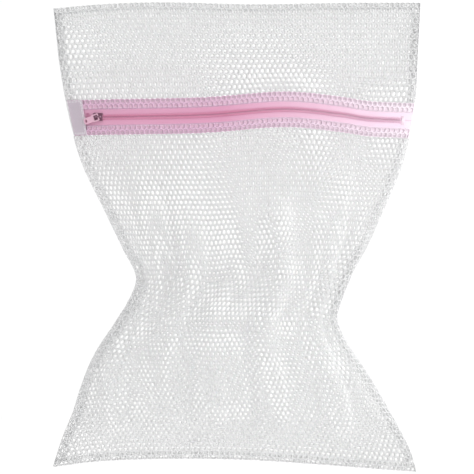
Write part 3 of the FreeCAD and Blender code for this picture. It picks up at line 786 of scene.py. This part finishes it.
def make_net_layers():
    """The back and the two front layers of net."""
    skins = make_skins()
    made = {}
    for name, node, seed, shifted_row in (("net_back", "back_panel", 3, 0),
                                          ("net_front_lower", "front_lower_panel", 5, 1),
                                          ("net_front_upper", "front_upper_panel", 7, 1)):
        grid, length = skins[name]
        piece = fix_normals(net_on_skin(name, grid, length, seed, shifted_row))
        finish_piece(piece, NET, "net", node)
        made[name] = (piece, length)
    return made


def make_hem(side, name):
    """Edge of net sewn over a tape: a band two cells deep with a rolled fold along its edge."""
    tuck = 0.7
    depth = PANEL_EDGE - HEM_FOLD
    flat, faces = net_cells(CLOTH_WIDTH, depth, CELL_PITCH, depth / 2, 2.7, depth / 2 * 0.7,
                            YARN_JITTER, 11)
    along = side * (HEM_FOLD + flat[:, 1])
    left, right = band_ends(along, tuck)
    x = left + (right - left) * (flat[:, 0] / CLOTH_WIDTH)
    band = on_zip(x, 0.86 + flat[:, 2] * 0.26, along)
    fold_x = np.linspace(*band_ends(side * HEM_FOLD, tuck), 260)
    fold = tube(on_zip(fold_x, 0.62, side * HEM_FOLD), 0.24)
    points, faces = join([(band, faces), fold])
    return fix_normals(mesh_piece(name, points, faces))


def make_stitches(name, x, out, along, length, gap, radius, wobble=0.0):
    """A row of separate lock stitches along the zip's arc."""
    parts = []
    count = int((x[1] - x[0]) / (length + gap))
    step = (x[1] - x[0]) / count
    for index in range(count):
        start = x[0] + index * step + gap / 2
        places = np.linspace(start, start + length, 5)
        arch = np.array([-0.22, 0.04, 0.1, 0.04, -0.22])
        line = along + wobble * math.sin(index * 1.7)
        parts.append(tube(on_zip(places, out + arch, line), radius, 5))
    points, faces = join(parts)
    piece = mesh_piece(name, points, faces)
    store_across(piece, np.full(len(points), abs(along)))
    return piece


def make_tape(side, name):
    """Woven tape with a slightly thicker edge by the chain and a thin selvedge."""
    inner = 0.12
    width = TAPE_EDGE - inner

    def place(u, v, face):
        along = side * (inner + width * v)
        left, right = band_ends(along, 0.4)
        x = left + (right - left) * u
        rim = 0.25 - 0.12 * (np.abs(v - 0.5) > 0.49)
        ripple = 0.07 * np.sin(x / 3.1 + v * 3) * v
        return on_zip(x, face * rim + ripple, along)

    steps_along, steps_across = 232, 28
    points, faces = slab(place, steps_along, steps_across)
    piece = fix_normals(mesh_piece(name, points, faces))
    across = inner + width * np.linspace(0, 1, steps_across + 1)
    store_across(piece, np.tile(across, 2 * (steps_along + 1)))
    return piece


def make_coil(side, name):
    """Nylon coil: one wire wound into flattened loops, whose heads meet at the centre line."""
    pitch = 1.26
    turns = int((COIL_RIGHT - COIL_LEFT) / pitch)
    per_turn = 12
    angle = np.linspace(0, 2 * math.pi * turns, turns * per_turn + 1)
    phase = 0.0 if side > 0 else 0.5
    x = COIL_LEFT + (angle / (2 * math.pi) + phase * 0.98) * pitch
    x = np.clip(x, COIL_LEFT, COIL_RIGHT)
    wire = 0.27
    round_y = np.sign(np.cos(angle)) * np.abs(np.cos(angle)) ** 0.75
    round_z = np.sign(np.sin(angle)) * np.abs(np.sin(angle)) ** 0.85
    away = 1.08 + 0.98 * round_y
    out = 1.07 + (0.8 - wire) * round_z
    sides = 5
    points, faces = tube(on_zip(x, out, side * away), wire, sides)
    piece = mesh_piece(name, points, faces)
    store_across(piece, np.repeat(away, sides))
    return piece


def make_core(side, name):
    """Twisted cord inside the coil."""
    parts = []
    x = np.linspace(COIL_LEFT + 0.4, COIL_RIGHT - 0.4, 900)
    for strand in range(2):
        turn = x / 1.9 * 2 * math.pi + strand * math.pi
        parts.append(tube(on_zip(x, 1.05 + 0.12 * np.sin(turn),
                                 side * (1.3 + 0.12 * np.cos(turn))), 0.15, 5))
    points, faces = join(parts)
    return mesh_piece(name, points, faces)


def make_tack(name, left, right):
    """Bar tack: tight stitches sewn over each other across both coils."""
    parts = []
    count = 7
    for index in range(count):
        x = left + (right - left) * (index + 0.5) / count
        lean = 0.25 * (-1) ** index
        along = np.linspace(-3.9, 3.9, 15)
        swell = 0.55 + 0.5 * np.exp(-(along / 2.4) ** 2) + 0.05 * (index % 2)
        parts.append(tube(on_zip(x + lean * along / 4, swell, along), 0.24))
    points, faces = join(parts)
    return mesh_piece(name, points, faces)


GARAGE_LEFT = -137.0
GARAGE_TOP = -125.6
GARAGE_BOTTOM = -120.9
GARAGE_HALF = 14.3


def garage_edge(share):
    """x of the garage's free edge, share 0 at the bottom to 1 at the top."""
    return GARAGE_BOTTOM + (GARAGE_TOP - GARAGE_BOTTOM) * share


def garage_point(x, along, out):
    """Points on the garage, which lies flat in front of the tape's end."""
    base = on_zip(np.asarray(GARAGE_LEFT), 0.0, 0.0)
    angle = math.asin(GARAGE_LEFT / ZIP_RADIUS)
    local = np.stack(np.broadcast_arrays(np.asarray(x, float) - GARAGE_LEFT,
                                         -np.asarray(out, float), np.asarray(along, float)), -1)
    turn = np.array([[math.cos(angle), -math.sin(angle), 0],
                     [math.sin(angle), math.cos(angle), 0], [0, 0, 1]])
    return local @ turn.T @ ZIP_TURN.T + base


def make_garage():
    """Folded strip over the closed end: a soft double layer with a rounded free edge."""

    def place(u, v, face):
        edge = garage_edge(v)
        along = -GARAGE_HALF + 2 * GARAGE_HALF * v
        left = band_ends(along, 0.9)[0]
        x = left + (edge - left) * u
        fold = np.sqrt(np.clip(1 - np.clip((u - 0.9) / 0.1, 0, 1) ** 2, 0, 1))
        ends = np.sqrt(np.clip(1 - np.clip((np.abs(v - 0.5) - 0.47) / 0.03, 0, 1) ** 2, 0, 1))
        half = 0.42 * np.maximum(fold * ends, 0.12)
        ripple = 0.14 * np.sin(v * 21 + u * 2) * (1 - u) + 0.1 * np.sin(v * 9.5)
        pucker = -0.16 * np.exp(-((u - 0.87) / 0.05) ** 2) * np.abs(np.sin(v * 34))
        return garage_point(x, along, 1.9 + face * half + ripple + pucker * (face > 0))

    points, faces = slab(place, 28, 64)
    return fix_normals(mesh_piece("garage", points, faces))


def garage_stitches():
    """Stitches along the garage's top, free edge and bottom."""
    parts = []
    inset = 1.4

    def run(first, last, count):
        """A straight row of stitches between two places on the garage."""
        first, last = np.array(first), np.array(last)
        for index in range(count):
            a = first + (last - first) * (index + 0.14) / count
            b = first + (last - first) * (index + 0.86) / count
            share = np.linspace(0, 1, 5)[:, None]
            flat = a + (b - a) * share
            arch = np.array([-0.16, 0.08, 0.14, 0.08, -0.16])
            parts.append(tube(garage_point(flat[:, 0], flat[:, 1], 2.42 + arch), 0.17, 5))

    low, high = -GARAGE_HALF + inset, GARAGE_HALF - inset
    bottom_end = (garage_edge(0.05) - inset, low)
    top_end = (garage_edge(0.95) - inset, high)
    run((band_ends(low, 1.6)[0], low), bottom_end, 6)
    run(bottom_end, top_end, 12)
    run(top_end, (band_ends(high, 1.6)[0], high), 4)
    points, faces = join(parts)
    return mesh_piece("garage_stitches", points, faces)


SEAM_LOW = -376.0
SEAM_HIGH = -8.0
SEAM_WIDTH = 5.6
SEAM_CELL = 3.6
OVERLOCK_STEP = 2.3


def seam_frame(edge):
    """A point function along a side seam: share down, in from the edge, out to the front."""
    inward = 1 if edge is left_edge else -1

    def at(down, across, out):
        height = SEAM_HIGH + (SEAM_LOW - SEAM_HIGH) * down
        slope = (edge(height + 1) - edge(height - 1)) / 2
        size = np.hypot(1, slope)
        x = edge(height) + inward * (0.9 + across) / size
        z = height - inward * (0.9 + across) * slope / size
        return np.stack(np.broadcast_arrays(x, -out, z), -1)

    return at


def cross_frame(edge, inward, left, right):
    """A point function along the top or bottom seam, inward -1 or 1: share, in, out."""

    def at(share, across, out):
        x = left + (right - left) * share
        z = edge(x) + inward * (0.5 + across)
        return np.stack(np.broadcast_arrays(x, -out, z), -1)

    return at


def make_seam(name, at, length):
    """Seam allowance: both cut edges of net held by overlock thread along the inner edge."""
    flat, faces = net_cells(length, SEAM_WIDTH, SEAM_CELL, SEAM_WIDTH / 2, 2.5, 2.1)
    net_points = at(flat[:, 0] / length, flat[:, 1], flat[:, 2] * 0.1)
    rolled = tube(at(np.linspace(0, 1, 200), -0.25, 0.0), 0.26)
    points, faces = join([(net_points, faces), rolled])
    net = fix_normals(mesh_piece(name, points, faces))

    count = int(length / OVERLOCK_STEP)
    share = (np.arange(count * 8 + 1) / 8) / count
    turn = share * count * 2 * math.pi
    across = SEAM_WIDTH - 1.1 + 1.35 * np.cos(turn)
    parts = [tube(at(share, across, 0.5 * np.sin(turn)), 0.15, 5)]
    needle_line = SEAM_WIDTH - 2.4
    places = np.linspace(0, 1, int(length / 2))
    sway = 0.1 * np.sin(places * length / 1.4)
    for face in (1, -1):
        parts.append(tube(at(places, needle_line + face * sway, face * 0.42), 0.18, 5))
    points, faces = join(parts)
    thread = mesh_piece(name + "_overlock", points, faces)
    return net, thread


def make_zip_side(side, word):
    """Hem, tape, coil, core and stitches of one side of the zip; side is 1 above, -1 below."""
    made = {}
    made["hem"] = finish_piece(make_hem(side, word + "_hem_net"), NET_HEM, "net", word + "_hem")
    stitches = make_stitches(word + "_hem_stitches", (TAPE_LEFT + 1, TAPE_RIGHT - 1), 1.36,
                             side * (HEM_FOLD + 1.0), 2.1, 0.7, 0.17, 0.08)
    made["stitches"] = finish_piece(stitches, HEM_THREAD, "pink_thread", word + "_hem_stitching")
    tape = make_tape(side, word + "_zip_tape")
    made["tape"] = finish_piece(tape, TAPE, "pink_tape", word + "_tape")
    coil = make_coil(side, word + "_zip_coil")
    made["coil"] = finish_piece(coil, COIL, "pink_coil", word + "_coil")
    core = make_core(side, word + "_core")
    made["core"] = finish_piece(core, CORE, "core", word + "_core_cord")
    sewing = make_stitches(word + "_coil_stitches", (COIL_LEFT + 0.6, COIL_RIGHT - 0.6), 1.86,
                           side * 1.35, 1.0, 0.26, 0.13)
    made["sewing"] = finish_piece(sewing, COIL, "pink_thread", word + "_coil_stitching")
    return made


def make_zip_ends():
    """Both tacks and the garage with its stitches; gives the garage and the stitches."""
    for name, left in (("closed", COIL_LEFT - 2.5), ("open", COIL_RIGHT + 0.3)):
        tack = make_tack(name + "_tack", left, left + 2.2)
        finish_piece(tack, PINK_THREAD, "pink_thread", name + "_end_tack")
    garage = finish_piece(make_garage(), GARAGE, "garage_net", "slider_garage")
    sewing = finish_piece(garage_stitches(), WHITE_THREAD, "white_thread", "garage_stitching")
    return garage, sewing


def make_seams():
    """The four seam allowances, each with its overlock thread."""
    pieces = []
    for name, node, at, length in (
            ("left_seam", "left_side_seam", seam_frame(left_edge), 400.0),
            ("right_seam", "right_side_seam", seam_frame(right_edge), 400.0),
            ("top_hem", "top_seam", cross_frame(top_edge, -1, -149.5, 150.5), 300.0),
            ("bottom_hem", "bottom_seam", cross_frame(bottom_edge, 1, -149.0, 147.0), 298.0)):
        net, thread = make_seam(name, at, length)
        pieces.append(finish_piece(net, NET_DENSE, "seam_net", node))
        pieces.append(finish_piece(thread, WHITE_THREAD, "white_thread"))
    return pieces


def paint_metal():
    """Enamel on the slider and its tab, which keep their own meshes."""
    for name, material in (("slider_body", SLIDER_PAINT), ("pull_tab", TAB_PAINT)):
        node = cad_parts[name]
        if not node.material_slots:
            node.data.materials.append(material)
        for slot in node.material_slots:
            slot.material = material


def open_lips(upper, net):
    """Give the zip's upper side and the net above it meshes of their own."""
    for piece in upper.values():
        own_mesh(piece)
    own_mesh(net)


nets = make_net_layers()
zip_sides = {"upper": make_zip_side(1, "upper"), "lower": make_zip_side(-1, "lower")}
garage, garage_sewing = make_zip_ends()
seam_pieces = make_seams()
paint_metal()
open_lips(zip_sides["upper"], nets["net_front_upper"][0])

# ---------------------------------------------------------------- stage, light and camera

FLOOR_Z = -0.75
VIEW_CENTRE = (0.0004, 0.0, -0.1928)
VIEW_WIDTH = 0.3896
VIEW_DISTANCE = 2.2
SENSOR = 36.0


def make_floor():
    """Plain pale floor under the bag."""
    size = 6.0
    mesh = bpy.data.meshes.new("floor")
    mesh.from_pydata([(-size, -size, FLOOR_Z), (size, -size, FLOOR_Z), (size, size, FLOOR_Z),
                      (-size, size, FLOOR_Z)], [], [(0, 1, 2, 3)])
    floor = bpy.data.objects.new("floor", mesh)
    bpy.context.scene.collection.objects.link(floor)
    material = Material("floor_paint", (0.98, 0.98, 0.98), 0.8)
    mesh.materials.append(material.material)


def area_light(name, place, size, power):
    """A soft square light aimed at the middle of the bag."""
    target = Vector((0, 0, -0.18))
    data = bpy.data.lights.new(name, "AREA")
    data.shape = "SQUARE"
    data.size = size
    data.energy = power
    light = bpy.data.objects.new(name, data)
    bpy.context.scene.collection.objects.link(light)
    light.location = place
    light.rotation_mode = "QUATERNION"
    light.rotation_quaternion = (target - Vector(place)).to_track_quat("-Z", "Y")


def make_light():
    """Surroundings that brighten to the right, with two soft lights, the stronger also there."""
    world = bpy.data.worlds.new("studio")
    bpy.context.scene.world = world
    world.use_nodes = True
    nodes, links = world.node_tree.nodes, world.node_tree.links
    background = nodes["Background"]
    background.inputs["Color"].default_value = (1, 1, 1, 1)
    direction = nodes.new("ShaderNodeTexCoord")
    split = nodes.new("ShaderNodeSeparateXYZ")
    level = nodes.new("ShaderNodeMapRange")
    level.inputs["From Min"].default_value = -1.0
    level.inputs["From Max"].default_value = 1.0
    level.inputs["To Min"].default_value = 0.35
    level.inputs["To Max"].default_value = 1.8
    links.new(direction.outputs["Generated"], split.inputs[0])
    links.new(split.outputs["X"], level.inputs["Value"])
    links.new(level.outputs["Result"], background.inputs["Strength"])
    area_light("key", (0.62, -0.5, 0.1), 0.6, 0.95)
    area_light("fill", (-1.2, -1.2, 0.3), 1.1, 0.1)


def make_camera():
    """Level camera straight in front of the bag."""
    data = bpy.data.cameras.new("camera")
    data.sensor_width = SENSOR
    data.lens = SENSOR * VIEW_DISTANCE / VIEW_WIDTH
    data.clip_start = 0.05
    data.clip_end = 50
    camera = bpy.data.objects.new("camera", data)
    bpy.context.scene.collection.objects.link(camera)
    camera.location = (VIEW_CENTRE[0], -VIEW_DISTANCE, VIEW_CENTRE[2])
    camera.rotation_euler = (math.radians(90), 0, 0)
    bpy.context.scene.camera = camera


make_floor()
make_light()
make_camera()
bpy.context.scene.view_settings.view_transform = "Standard"
